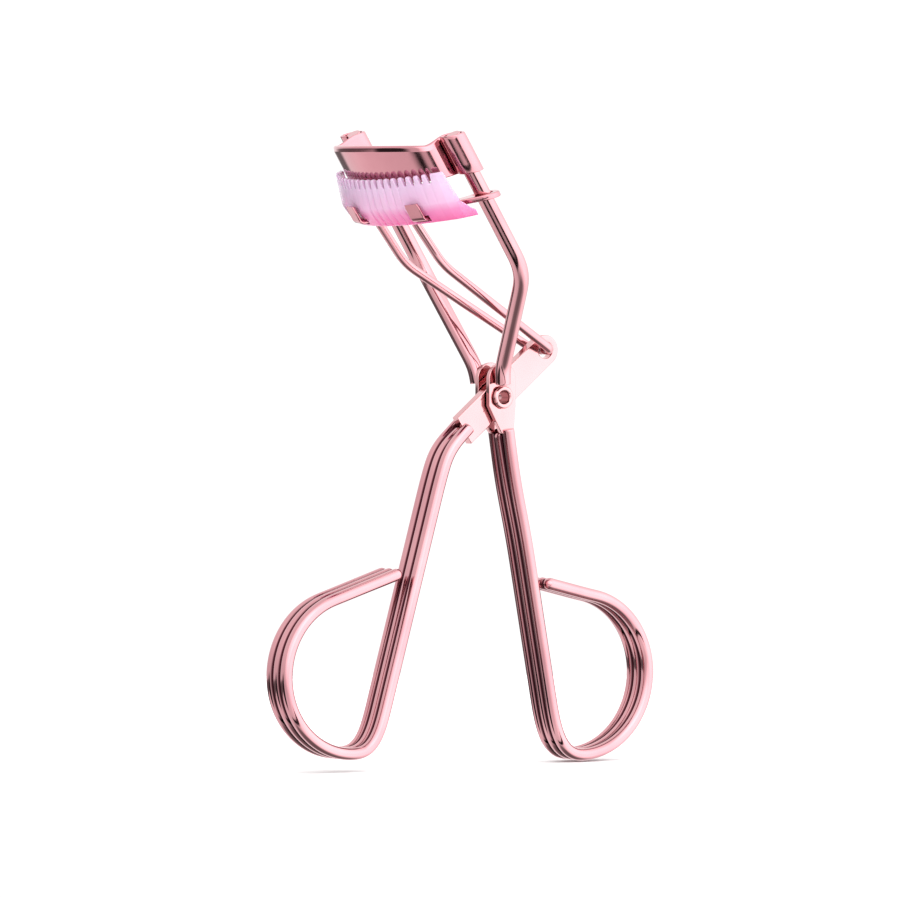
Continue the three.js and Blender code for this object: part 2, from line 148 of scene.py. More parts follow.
PAD_CROWN = 0.6
PAD_END_GAP = 0.02  # radians

# Comb guard and the clips that hold it
COMB_BOTTOM = 12.4
COMB_KNEE = 15.8
COMB_TOP = 21.2
COMB_INNER = 23.6
COMB_WALL = 0.9
COMB_EDGE = 0.3
COMB_KNEE_OUTER = 25.1
COMB_TIP_INNER = 22.7
COMB_TAIL_LENGTH = 2.4
COMB_TAIL_TURN = math.radians(64)
COMB_TAIL_DROP = 5.6  # the steep drop where the teeth end
COMB_TAIL_TAPER = 2.0  # and the slower fall to the tip
COMB_TEETH = 21
COMB_SLOT_WIDTH = 0.6
COMB_SLOT_DEPTH = 1.6
COMB_CROWN = 0.45
GROOVE_DEEP = 0.16
GROOVE_SHALLOW = 0.02
GROOVE_WIDTH = 0.13  # in tooth pitches
DEEP_GROOVES = (math.radians(-20), math.radians(-1))
CLIP_ANGLES = [math.radians(-25), math.radians(9)]
CLIP_WIDTH = 2.6
CLIP_TOP = 16.5
CLIP_SHEET = 0.6
CLIP_FOOT = 13.1
CLIP_INNER = 25.4
CLIP_TURN = 0.55
CLIP_WINDOW_GAP = 0.25

UP_GUIDE = Vector((-math.sin(GUIDE_TILT), 0, math.cos(GUIDE_TILT)))
FORWARD = Vector((-math.cos(JAW_DROP), 0, -math.sin(JAW_DROP)))
HEAD_SKEW = math.sqrt(1 - UP_GUIDE.dot(FORWARD) ** 2)


def head(across, ahead, up):
    """A point given by the head's own axes: across the jaws, forward, and up along the guide wires."""
    return GUIDE_BEND + Vector((0, across, 0)) + ahead * FORWARD + up * UP_GUIDE


def on_jaw(radius, angle, up):
    return head(radius * math.sin(angle), JAW_CENTRE + radius * math.cos(angle), up)


# ---- Materials -----------------------------------------------------------------------------------------
def new_material(name):
    """A new material, its node tree and its shader."""
    material = bpy.data.materials.new(name)
    material.use_nodes = True
    tree = material.node_tree
    return material, tree, tree.nodes["Principled BSDF"]


def noise(tree, scale, detail=3.0, roughness=0.5, stretch=None):
    """Noise over the object's own coordinates, in metres."""
    coordinates = tree.nodes.new("ShaderNodeTexCoord")
    texture = tree.nodes.new("ShaderNodeTexNoise")
    texture.inputs["Scale"].default_value = scale
    texture.inputs["Detail"].default_value = detail
    texture.inputs["Roughness"].default_value = roughness
    source = coordinates.outputs["Object"]
    if stretch:
        mapping = tree.nodes.new("ShaderNodeMapping")
        mapping.inputs["Scale"].default_value = stretch
        tree.links.new(source, mapping.inputs["Vector"])
        source = mapping.outputs["Vector"]
    tree.links.new(source, texture.inputs["Vector"])
    return texture.outputs["Fac"]


def ramp(tree, source, stops):
    """A colour ramp over a value, from (position, colour) stops."""
    node = tree.nodes.new("ShaderNodeValToRGB")
    elements = node.color_ramp.elements
    elements.remove(elements[1])
    elements[0].position = stops[0][0]
    elements[0].color = (*stops[0][1], 1)
    for position, colour in stops[1:]:
        elements.new(position).color = (*colour, 1)
    tree.links.new(source, node.inputs["Fac"])
    return node.outputs["Color"]


def spread(tree, source, low, high):
    """Noise stretched to run between two values."""
    node = tree.nodes.new("ShaderNodeMapRange")
    node.inputs["From Min"].default_value = 0.3
    node.inputs["From Max"].default_value = 0.7
    node.inputs["To Min"].default_value = low
    node.inputs["To Max"].default_value = high
    tree.links.new(source, node.inputs["Value"])
    return node.outputs["Result"]


def bump(tree, shader, height, strength, distance):
    node = tree.nodes.new("ShaderNodeBump")
    node.inputs["Strength"].default_value = strength
    node.inputs["Distance"].default_value = distance
    tree.links.new(height, node.inputs["Height"])
    tree.links.new(node.outputs["Normal"], shader.inputs["Normal"])


def paint_seam_shade(tree, tint):
    """Paints shade into the plating's colour where two handle wires touch: darkest at the joint, and
    fading to none a little way off.
    """
    coordinates = tree.nodes.new("ShaderNodeTexCoord")
    parts = tree.nodes.new("ShaderNodeSeparateXYZ")
    tree.links.new(coordinates.outputs["Object"], parts.inputs["Vector"])
    value = parts.outputs["Y"]
    for operation, amount in (
            ("SUBTRACT", PIVOT.y), ("ABSOLUTE", None), ("SUBTRACT", HANDLE_PITCH / 2 * MM),
            ("ABSOLUTE", None), ("DIVIDE", MM)):
        step = tree.nodes.new("ShaderNodeMath")
        step.operation = operation
        tree.links.new(value, step.inputs[0])
        if amount is not None:
            step.inputs[1].default_value = amount
        value = step.outputs["Value"]
    # Painted shade: near-black multiplied into the colour at the joint between two wires, clearing further
    # off
    shade = ramp(tree, value, [(SEAM_SHADE_FULL, (0.06, 0.025, 0.035)), (SEAM_SHADE_CLEAR, (1.0, 1.0, 1.0))])
    darkened = tree.nodes.new("ShaderNodeMix")
    darkened.data_type = "RGBA"
    darkened.blend_type = "MULTIPLY"
    darkened.inputs["Factor"].default_value = 1.0
    colours = [socket for socket in darkened.inputs if socket.type == "RGBA"]
    tree.links.new(tint, colours[0])
    tree.links.new(shade, colours[1])
    return [socket for socket in darkened.outputs if socket.type == "RGBA"][0]


def rose_metal(name, light, dark, smooth, dull, seam_shade=False):
    """Rose-gold plating: slow shifts of tint, fine handling marks in the gloss, and a faint ripple; with
    seam shade on, painted shade along the joints between handle wires.
    """
    material, tree, shader = new_material(name)
    shader.inputs["Metallic"].default_value = 1.0
    tint = ramp(tree, noise(tree, 90.0), [(0.35, dark), (0.65, light)])
    if seam_shade:
        tint = paint_seam_shade(tree, tint)
    tree.links.new(tint, shader.inputs["Base Color"])
    marks = noise(tree, 900.0, 6.0, 0.65, (1.0, 1.0, 0.25))
    tree.links.new(spread(tree, marks, smooth, dull), shader.inputs["Roughness"])
    bump(tree, shader, noise(tree, 240.0, 2.0), 0.05, 0.00002)
    return material


WIRE_TINTS = ((0.55, 0.28, 0.30), (0.49, 0.235, 0.26))
WIRE_METAL = rose_metal("rose_gold_wire", *WIRE_TINTS, 0.05, 0.10)
# The handle wires carry painted shade along the joints between them
HANDLE_METAL = rose_metal("rose_gold_handle_painted_seam_shade", *WIRE_TINTS, 0.05, 0.10, seam_shade=True)
PLATE_METAL = rose_metal("rose_gold_plate", (0.57, 0.31, 0.32), (0.53, 0.28, 0.29), 0.08, 0.14)
JAW_METAL = rose_metal("rose_gold_jaw", (0.54, 0.245, 0.275), (0.49, 0.21, 0.24), 0.07, 0.13)


def height_on_guides(tree):
    """Height along the guide wires, in millimetres from their bend, as a shading value."""
    coordinates = tree.nodes.new("ShaderNodeTexCoord")
    root = PIVOT + GUIDE_BEND * MM
    upward = (UP_GUIDE - UP_GUIDE.dot(FORWARD) * FORWARD) / HEAD_SKEW ** 2
    shift = tree.nodes.new("ShaderNodeVectorMath")
    shift.operation = "SUBTRACT"
    shift.inputs[1].default_value = root
    along = tree.nodes.new("ShaderNodeVectorMath")
    along.operation = "DOT_PRODUCT"
    along.inputs[1].default_value = upward / MM
    tree.links.new(coordinates.outputs["Object"], shift.inputs[0])
    tree.links.new(shift.outputs["Vector"], along.inputs[0])
    return along.outputs["Value"]


PALE_FROM = 20.0  # height on the guide wires above which the comb is palest


def comb_plastic():
    """Clear pink plastic: pale towards the teeth, hot pink in the thick lower band."""
    material, tree, shader = new_material("comb_pink")
    fraction = tree.nodes.new("ShaderNodeMapRange")
    fraction.inputs["From Min"].default_value = COMB_BOTTOM
    fraction.inputs["From Max"].default_value = PALE_FROM
    tree.links.new(height_on_guides(tree), fraction.inputs["Value"])
    mixed = tree.nodes.new("ShaderNodeMath")
    mixed.operation = "MULTIPLY_ADD"
    mixed.inputs[1].default_value = 0.10
    tree.links.new(noise(tree, 260.0), mixed.inputs[0])
    tree.links.new(fraction.outputs["Result"], mixed.inputs[2])
    colours = [
        (0.05, (0.74, 0.14, 0.34)),
        (0.32, (0.74, 0.24, 0.46)),
        (0.52, (0.70, 0.42, 0.60)),
        (0.95, (0.66, 0.47, 0.64)),
    ]
    tree.links.new(ramp(tree, mixed.outputs["Value"], colours), shader.inputs["Base Color"])
    shader.inputs["Transmission Weight"].default_value = 0.18
    shader.inputs["IOR"].default_value = 1.49
    shader.inputs["Subsurface Weight"].default_value = 0.35
    shader.inputs["Subsurface Radius"].default_value = (1.0, 0.55, 0.8)
    shader.inputs["Subsurface Scale"].default_value = 0.0012
    tree.links.new(spread(tree, noise(tree, 700.0, 5.0), 0.10, 0.22), shader.inputs["Roughness"])
    bump(tree, shader, noise(tree, 340.0, 2.0), 0.10, 0.00003)
    return material


def pad_silicone():
    """Soft rose silicone with a fine matt grain."""
    material, tree, shader = new_material("pad_silicone")
    tint = ramp(tree, noise(tree, 300.0), [(0.3, (0.62, 0.11, 0.20)), (0.7, (0.72, 0.16, 0.26))])
    tree.links.new(tint, shader.inputs["Base Color"])
    shader.inputs["Subsurface Weight"].default_value = 0.2
    shader.inputs["Subsurface Radius"].default_value = (1.0, 0.4, 0.4)
    shader.inputs["Subsurface Scale"].default_value = 0.0008
    tree.links.new(spread(tree, noise(tree, 1200.0, 5.0), 0.38, 0.55), shader.inputs["Roughness"])
    bump(tree, shader, noise(tree, 2600.0, 3.0), 0.25, 0.00003)
    return material


COMB_PLASTIC = comb_plastic()
PAD_SILICONE = pad_silicone()

# ---- Pieces ---------------------------------------------------------------------------------------------
BODY_OF = {}
for body, nodes in frame["record"]["behaviour"]["bodies"].items():
    for node in nodes:
        BODY_OF[node] = body
SHARP_ANGLE = math.radians(50)


def piece(node, mesh, material):
    """A finished mesh, in millimetres from the rivet, that stands for a node and moves with its body."""
    mesh.transform(TO_FRAME)
    mesh.name = node + "_fine"
    mesh.materials.clear()
    mesh.materials.append(material)
    mesh.shade_smooth()
    mesh.set_sharp_from_angle(angle=SHARP_ANGLE)
    obj = bpy.data.objects.new(node + "_fine", mesh)
    bpy.context.scene.collection.objects.link(obj)
    weighted = obj.modifiers.new("weighted_normals", "WEIGHTED_NORMAL")
    weighted.keep_sharp = True
    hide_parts(node)
    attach(obj, BODY_OF[node])
    return obj


def to_mesh(bm):
    bmesh.ops.remove_doubles(bm, verts=bm.verts, dist=1e-5)
    bmesh.ops.recalc_face_normals(bm, faces=bm.faces)
    mesh = bpy.data.meshes.new("piece")
    bm.to_mesh(mesh)
    bm.free()
    return mesh


def loft(bm, rings, closed=False):
    """Joins rings of equally many points, each to the next, and caps the ends or closes on the first."""
    rows = [[bm.verts.new(point) for point in ring] for ring in rings]
    pairs = list(zip(rows, rows[1:]))
    if closed:
        pairs.append((rows[-1], rows[0]))
    else:
        bm.faces.new(rows[0])
        bm.faces.new(rows[-1])
    count = len(rows[0])
    for near, far in pairs:
        for i in range(count):
            j = (i + 1) % count
            bm.faces.new((near[i], near[j], far[j], far[i]))


def rounded_outline(corners, radius, steps=4):
    """A closed outline of 2-D corners, each rounded by a curve that starts radius away from it."""
    points = []
    for i, corner in enumerate(corners):
        corner = Vector(corner)
        back = Vector(corners[i - 1]) - corner
        ahead = Vector(corners[(i + 1) % len(corners)]) - corner
        start = corner + back.normalized() * min(radius, back.length * 0.49)
        end = corner + ahead.normalized() * min(radius, ahead.length * 0.49)
        for k in range(steps + 1):
            t = k / steps
            points.append(start * (1 - t) ** 2 + corner * 2 * t * (1 - t) + end * t ** 2)
    return points


# ---- Wires ----------------------------------------------------------------------------------------------
def bezier(points, steps):
    """Points on the Bezier curve of any degree with these control points."""
    made = []
    for k in range(steps + 1):
        row = [Vector(p) for p in points]
        while len(row) > 1:
            row = [a.lerp(b, k / steps) for a, b in zip(row, row[1:])]
        made.append(row[0])
    return made


def bent_path(points, bend):
    """Straight runs between the points, with each inner corner rounded by a bend of the given length."""
    path = [points[0]]
    for before, corner, after in zip(points, points[1:], points[2:]):
        back = before - corner
        ahead = after - corner
        cut = min(bend, back.length / 2, ahead.length / 2)
        path += bezier([corner + back.normalized() * cut, corner, corner + ahead.normalized() * cut], 12)
    return path + [points[-1]]


def even(points, step):
    """The same route with its points a step apart."""
    made = [points[0].copy()]
    left = step
    for a, b in zip(points, points[1:]):
        length = (b - a).length
        at = left
        while at < length:
            made.append(a.lerp(b, at / length))
            at += step
        left = at - length
    if (made[-1] - points[-1]).length < step / 2:
        made.pop()
    return made + [points[-1].copy()]


def relaxed(points, times):
    """Evens out the bends, so that their start and end don't show in a polished surface."""
    for _ in range(times):
        inner = [a * 0.25 + b * 0.5 + c * 0.25 for a, b, c in zip(points, points[1:], points[2:])]
        points = [points[0], *inner, points[-1]]
    return points


def wire_mesh(path, diameter, start="flat", end="flat", step=0.4, smoothing=10, sides=28):
    """A round wire along a path. Its ends are flat with a small edge radius, or domed."""
    points = relaxed(even(path, step), smoothing)
    tangents = []
    for i in range(len(points)):
        before = points[max(i - 1, 0)]
        after = points[min(i + 1, len(points) - 1)]
        tangents.append((after - before).normalized())
    radius = diameter / 2
    reach = {"flat": 0.18, "domed": radius}
    stations = []
    for k in range(7):
        turn = math.pi / 2 * k / 7
        size = reach[start]
        stations.append((points[0] + tangents[0] * size * (1 - math.cos(turn)), tangents[0],
                         radius - size + size * math.sin(turn)))
    inner = [
        (p, t, radius) for p, t in zip(points, tangents)
        if (p - points[0]).length >= reach[start] and (p - points[-1]).length >= reach[end]
    ]
    stations += inner
    for k in range(6, -1, -1):
        turn = math.pi / 2 * k / 7
        size = reach[end]
        stations.append((points[-1] - tangents[-1] * size * (1 - math.cos(turn)), tangents[-1],
                         radius - size + size * math.sin(turn)))
    normal = Vector((0, 1, 0))
    if abs(normal.dot(stations[0][1])) > 0.9:
        normal = Vector((1, 0, 0))
    rings = []
    for point, tangent, size in stations:
        normal = (normal - normal.dot(tangent) * tangent).normalized()
        other = tangent.cross(normal)
        size = max(size, 0.02)
        rings.append([
            point + size * (math.cos(turn) * normal + math.sin(turn) * other)
            for turn in (2 * math.pi * i / sides for i in range(sides))
        ])
    bm = bmesh.new()
    loft(bm, rings)
    return to_mesh(bm)


def handle_path(handle, start, y):
    """Stalk, tight bend at the foot, round finger loop, and a straight run back to the stalk."""
    def lift(point):
        return Vector((point[0], y, point[1]))

    stalk = [lift(point) for point in (start, *handle["stalk"])]
    centre = handle["loop_centre"]
    radius = handle["loop_radius"]
    arc = []
    steps = 60
    turn = handle["arc_to"] - handle["arc_from"]
    for i in range(steps + 1):
        angle = math.radians(handle["arc_from"] + turn * i / steps)
        arc.append(lift((centre[0] + radius * math.cos(angle), centre[1] + radius * math.sin(angle))))
    foot = bezier([stalk[-1], *(lift(point) for point in handle["foot"]), arc[0]], 24)
    return bent_path(stalk, HANDLE_BEND) + foot[1:] + arc[1:] + [lift(handle["tip"])]


FRAME_HANDLE = {
    "name": "right_handle",
    "front_start": (1.2, -5.3),
    "middle_start": (1.0, -5.6),
    "rear_start": (1.2, -5.3),
    "stalk": [(2.5, -13.7), (4.8, -23.6), (10.0, -51.5)],
    "foot": [(11.0, -56.4), (12.2, -59.7)],
    "loop_centre": (16.1, -46.6),
    "loop_radius": 13.4,
    "arc_from": 268,
    "arc_to": 442,
    "tip": (8.6, -31.0),
}
LEVER_HANDLE = {
    "name": "left_handle",
    "front_start": (-6.6, -4.9),
    "middle_start": (-6.5, -5.3),
    "rear_start": (-5.9, -4.4),
    "stalk": [(-10.6, -8.6), (-12.3, -13.4), (-23.2, -50.8)],
    "foot": [(-24.5, -55.4), (-25.8, -58.2)],
    "loop_centre": (-29.7, -45.2),
    "loop_radius": 13.0,
    "arc_from": 272,
    "arc_to": 104,
    "tip": (-20.2, -28.6),
}
for handle in (FRAME_HANDLE, LEVER_HANDLE):
    for place, side in (("front", -1), ("middle", 0), ("rear", 1)):
        start = handle[f"{place}_start"]
        path = handle_path(handle, start, side * HANDLE_PITCH)
        mesh = wire_mesh(path, HANDLE_WIRE, "flat" if side else "domed", "domed")
        piece(f"{handle['name']}_{place}_wire", mesh, HANDLE_METAL)

for place, side in (("front", -1), ("rear", 1)):
    guide = [
        Vector((-0.9, side * GUIDE_FOOT, 2.2)),
        Vector((-1.2, side * (GUIDE_FOOT + 0.3), 4.8)),
        Vector((GUIDE_BEND.x, side * GUIDE_HALF_SPAN, GUIDE_BEND.z)),
        head(side * GUIDE_HALF_SPAN, 0, GUIDE_LENGTH),
    ]
    mesh = wire_mesh(bent_path(guide, GUIDE_CORNER), GUIDE_WIRE, sides=40)
    piece(f"{place}_guide_wire", mesh, WIRE_METAL)
    link = [
        Vector((LEVER_HOLE.x, side * 0.15, LEVER_HOLE.z)),
        Vector((LEVER_HOLE.x, side * 2.7, LEVER_HOLE.z)),
        Vector((-14.1, side * 5.6, 22.1)),
        head(side * LINK_HALF_SPAN, JAW_CENTRE + JAW_RADIUS - 0.7, CHANNEL_BOTTOM - 0.1),
    ]
    mesh = wire_mesh(bent_path(link, LINK_CORNER), LINK_WIRE, step=0.25, smoothing=8)
    piece(f"{place}_link_wire", mesh, WIRE_METAL)


# ---- Pivot plates and rivet ---------------------------------------------------------------------------
def plate_mesh(outlines, thickness, edge, matrix):
    """A flat plate from closed outlines, inner ones being holes, with its edges rounded by edge."""
    curve = bpy.data.curves.new("outline", "CURVE")
    curve.dimensions = "2D"
    curve.fill_mode = "BOTH"
    for outline in outlines:
        spline = curve.splines.new("POLY")
        spline.points.add(len(outline) - 1)
        for point, place in zip(spline.points, outline):
            point.co = (place[0], place[1], 0, 1)
        spline.use_cyclic_u = True
    curve.bevel_depth = edge
    curve.bevel_resolution = 3
    curve.offset = -edge
    curve.extrude = thickness / 2 - edge
    holder = bpy.data.objects.new("outline", curve)
    bpy.context.scene.collection.objects.link(holder)
    mesh = bpy.data.meshes.new_from_object(holder.evaluated_get(bpy.context.evaluated_depsgraph_get()))
    bpy.data.objects.remove(holder)
    bpy.data.curves.remove(curve)
    bm = bmesh.new()
    bm.from_mesh(mesh)
    bmesh.ops.transform(bm, matrix=matrix, verts=bm.verts)
    return to_mesh(bm)


def circle(centre, radius, steps=48, start=0.0, turn=2 * math.pi):
    """Points round a circle or an arc."""
    count = steps if turn >= 2 * math.pi else steps + 1
    return [
        (centre[0] + radius * math.cos(start + turn * i / steps),
         centre[1] + radius * math.sin(start + turn * i / steps))
        for i in range(count)
    ]


def upright(y):
    """Stands a flat outline in the plane of the handles, at a place along the rivet."""
    return Matrix.Translation((0, y, 0)) @ Matrix.Rotation(math.pi / 2, 4, "X")


for place, side in (("front", -1), ("rear", 1)):
    left = (-2.6, -1.4)
    right = (2.8, -1.4)
    corners = [left, (-0.2, -5.8), (0.3, CLEVIS_FOOT), (2.4, CLEVIS_FOOT), right]
    foot = rounded_outline(corners, CLEVIS_CORNER)[5:20]  # the three lower corners only
    outline = [left, *foot, right, *circle(CLEVIS_TOP, CLEVIS_TOP_RADIUS, 32, 0, math.pi)]
    middle = side * (CLEVIS_INNER + CLEVIS_OUTER) / 2
    mesh = plate_mesh(
        [outline, circle((0, 0), RIVET_SHANK + PLATE_CLEARANCE)],
        CLEVIS_OUTER - CLEVIS_INNER, CLEVIS_EDGE, upright(middle))
    piece(f"{place}_clevis_plate", mesh, PLATE_METAL)

lever_axis = LEVER_HOLE - LEVER_TAIL
lever_angle = math.atan2(lever_axis.z, lever_axis.x)
half_width = LEVER_WIDTH / 2
pivot_along = -LEVER_TAIL.dot(lever_axis.normalized())
pivot_aside = LEVER_TAIL.x * math.sin(lever_angle) - LEVER_TAIL.z * math.cos(lever_angle)
outline = [(-0.6, -half_width)]
outline += circle((lever_axis.length, 0), half_width, 32, -math.pi / 2, math.pi)
outline += [(0, half_width)]
turned = Matrix.Translation(LEVER_TAIL) @ Matrix.Rotation(-lever_angle, 4, "Y")
lever_mesh = plate_mesh(
    [outline, circle((pivot_along, pivot_aside), RIVET_SHANK + PLATE_CLEARANCE),
     circle((lever_axis.length, 0), LEVER_HOLE_RADIUS)],
    LEVER_THICKNESS, LEVER_EDGE, turned @ upright(0))
piece("lever_plate", lever_mesh, PLATE_METAL)


def rivet_mesh():
    """A hollow rivet with a rolled flange at each end."""
    roll = (RIVET_FLANGE - RIVET_BORE) / 2
    middle = (RIVET_FLANGE + RIVET_BORE) / 2
    root = RIVET_REACH - RIVET_ROLL
    flange = []
    for k in range(13):
        turn = math.pi * k / 12
        flange.append((middle - roll * math.cos(turn), root + RIVET_ROLL * math.sin(turn) ** 0.8))
    half = [*flange, (RIVET_FLANGE - 0.12, root - 0.1), (RIVET_SHANK, root - 0.1)]
    profile = [*half, *((radius, -y) for radius, y in reversed(half))]
    rings = []
    for i in range(64):
        turn = 2 * math.pi * i / 64
        rings.append([Vector((r * math.cos(turn), y, r * math.sin(turn))) for r, y in profile])
    bm = bmesh.new()
    loft(bm, rings, closed=True)
    return to_mesh(bm)


piece("pivot_rivet", rivet_mesh(), PLATE_METAL)


# ---- Upper jaw: one cambered sheet with its ends rolled round the guide wires ---------------------------
def smooth_step(value):
    """Eases from 0 to 1 as the value goes from 0 to 1, and holds outside that."""
    value = min(max(value, 0.0), 1.0)
    return value * value * (3 - 2 * value)


def jaw_plan(angle):
    """A point of the jaws' curve in plan: across the jaws, and ahead."""
    return Vector((JAW_RADIUS * math.sin(angle), JAW_CENTRE + JAW_RADIUS * math.cos(angle), 0))


def nearest(points, place):
    return min(range(len(points)), key=lambda i: (points[i] - place).length)


def upper_jaw_mesh():
    """One cambered sheet whose wings turn back to the guide wires and roll round them."""
    corner = jaw_plan(JAW_HALF_ANGLE)
    corner_start = JAW_HALF_ANGLE * 0.9
    half = [jaw_plan(corner_start * i / 44) for i in range(45)]
    roll = []
    for i in range(61):
        turn = SLEEVE_START + SLEEVE_TURN * i / 60
        roll.append(Vector((
            GUIDE_HALF_SPAN + SLEEVE_RADIUS * math.cos(turn),
            SLEEVE_RADIUS * math.sin(turn) / HEAD_SKEW,
            0)))
    wing = bezier([half[-1], corner, corner.lerp(roll[0], 0.5)], 16)
    half = relaxed(even(half + wing[1:] + roll, 0.25), 6)
    wing_start = nearest(half, corner)
    roll_start = nearest(half, roll[0])
    line = [(p, i) for i, p in enumerate(half)]
    line = [(Vector((-p.x, p.y, 0)), i) for p, i in reversed(line[1:])] + line
    rings = []
    for k, (point, i) in enumerate(line):
        before = line[max(k - 1, 0)][0]
        after = line[min(k + 1, len(line) - 1)][0]
        tangent = (after - before).normalized()
        normal = Vector((-tangent.y, tangent.x, 0))
        along = smooth_step((i - wing_start) / (roll_start - wing_start))
        share = min(i / wing_start, 1.0)
        top = UPPER_TOP + CAMBER * (1 - share ** 2) + (SLEEVE_TOP - UPPER_TOP) * along
        thickness = SHEET + (SLEEVE_WALL - SHEET) * along
        bend = top - LIP_HEIGHT
        front = [UPPER_BOTTOM, UPPER_BOTTOM + 2, bend - 0.1, bend + 0.1, top]
        corners = [(thickness / 2, height) for height in front]
        corners += [(-thickness / 2, height) for height in reversed(front)]
        ring = []
        for offset, height in rounded_outline(corners, thickness * 0.45):
            offset -= LIP_SLOPE * (1 - along) * max(0.0, height - bend)
            ring.append(head(point.x + normal.x * offset, point.y + normal.y * offset, height))
        rings.append(ring)
    bm = bmesh.new()
    loft(bm, rings)
    return to_mesh(bm)


piece("upper_jaw", upper_jaw_mesh(), JAW_METAL)


# ---- Lower jaw: channel, cheeks, ears and clips -------------------------------------------------------
def swept_on_jaw(bm, profile, from_angle, to_angle, steps):
    """A closed radius-height profile carried round the jaws' curve."""
    rings = []
    for i in range(steps + 1):
        angle = from_angle + (to_angle - from_angle) * i / steps
        rings.append([on_jaw(radius, angle, height) for radius, height in profile])
    loft(bm, rings)


def lower_jaw_mesh():
    """A channel for the pad, a cheek that closes each end, two clips, and an ear round each guide wire."""
    bm = bmesh.new()
    inner = JAW_RADIUS - CHANNEL_HALF_WIDTH
    outer = JAW_RADIUS + CHANNEL_HALF_WIDTH
    floor_top = CHANNEL_BOTTOM + SHEET
    channel = [
        (inner, CHANNEL_BOTTOM), (outer, CHANNEL_BOTTOM), (outer, CHANNEL_TOP),
        (outer - CHANNEL_WALL, CHANNEL_TOP), (outer - CHANNEL_WALL, floor_top),
        (inner + CHANNEL_WALL, floor_top), (inner + CHANNEL_WALL, CHANNEL_TOP), (inner, CHANNEL_TOP),
    ]
    swept_on_jaw(bm, rounded_outline(channel, 0.25), -CHANNEL_HALF_ANGLE, CHANNEL_HALF_ANGLE, 72)
    for side in (-1, 1):
        start = side * (CHANNEL_HALF_ANGLE - CHEEK_JOIN / JAW_RADIUS)
        end = side * (CHANNEL_HALF_ANGLE + CHEEK_THICKNESS / JAW_RADIUS)
        edge = 0.2 / JAW_RADIUS * side
        rings = []
        for angle, shrink in ((start, 0.12), (start + edge / 2, 0.03), (start + edge, 0.0),
                              (end - edge, 0.0), (end - edge / 2, 0.03), (end, 0.12)):
            outline = [
                (inner + shrink, CHANNEL_BOTTOM + shrink), (outer - shrink, CHANNEL_BOTTOM + shrink),
                (outer - shrink, EAR_TOP - shrink), (inner + shrink, EAR_TOP - shrink),
            ]
            rings.append([on_jaw(r, angle, t) for r, t in rounded_outline(outline, CHEEK_CORNER, 6)])
        loft(bm, rings)
    for angle in CLIP_ANGLES:
        clip(bm, angle, outer)
    mesh = to_mesh(bm)
    joined = bmesh.new()
    joined.from_mesh(mesh)
    for side in (-1, 1):
        joined.from_mesh(ear_mesh(side))
    return to_mesh(joined)


def clip(bm, angle, outer):
    """A strip that comes out through the comb's wall and turns up against its face."""
    half_sheet = CLIP_SHEET / 2
    foot = CLIP_FOOT + half_sheet
    front = CLIP_INNER + half_sheet
    bend_centre = Vector((front - CLIP_TURN, foot + CLIP_TURN))
    route = [Vector((outer - 0.2, foot)), Vector((bend_centre.x, foot))]
    for k in range(1, 9):
        bend = math.pi / 2 * k / 8
        route.append(bend_centre + CLIP_TURN * Vector((math.sin(bend), -math.cos(bend))))
    for k in range(1, 5):
        route.append(Vector((front, bend_centre.y + (CLIP_TOP - bend_centre.y) * k / 4)))
    centre = Vector((0, JAW_CENTRE))
    outward = Vector((math.sin(angle), math.cos(angle)))
    beside = Vector((math.cos(angle), -math.sin(angle)))
    rings = []
    for i, point in enumerate(route):
        ahead = route[min(i + 1, len(route) - 1)] - route[max(i - 1, 0)]
        ahead.normalize()
        normal = Vector((-ahead.y, ahead.x))
        left = (route[-1] - point).length
        narrow = 0.15 * (1 - math.sqrt(max(0.0, 1 - (1 - min(left / 0.5, 1.0)) ** 2)))
        half = CLIP_WIDTH / 2 - narrow
        corners = [(-half, -half_sheet), (half, -half_sheet), (half, half_sheet), (-half, half_sheet)]
        ring = []
        for across, off in rounded_outline(corners, 0.2):
            spot = point + normal * off
            plan = centre + outward * spot.x + beside * across
            ring.append(head(plan.x, plan.y, spot.y))
        rings.append(ring)
    loft(bm, rings)


def ear_mesh(side):
    """The tongue from the channel's end to the guide wire, with a ring round the wire."""
    root_x = JAW_RADIUS * math.sin(CHANNEL_HALF_ANGLE)
    root_y = JAW_CENTRE + JAW_RADIUS * math.cos(CHANNEL_HALF_ANGLE)

    def round_guide(radius, turn):
        return GUIDE_HALF_SPAN + radius * math.cos(turn), radius * math.sin(turn) / HEAD_SKEW

    outline = [(root_x - 0.4, root_y - 1.6)]
    outline += [round_guide(EAR_RADIUS, EAR_RING_START + EAR_RING_TURN * k / 40) for k in range(41)]
    outline += [(root_x + 1.0, root_y + 0.4)]
    hole = [round_guide(GUIDE_HOLE, 2 * math.pi * k / 40) for k in range(40)]
    matrix = Matrix.Identity(4)
    columns = (Vector((0, side, 0)), FORWARD, UP_GUIDE, head(0, 0, (EAR_BOTTOM + EAR_TOP) / 2))
    for i, column in enumerate(columns):
        for row in range(3):
            matrix[row][i] = column[row]
    return plate_mesh([outline, hole], EAR_TOP - EAR_BOTTOM, EAR_EDGE, matrix)


piece("lower_jaw", lower_jaw_mesh(), JAW_METAL)


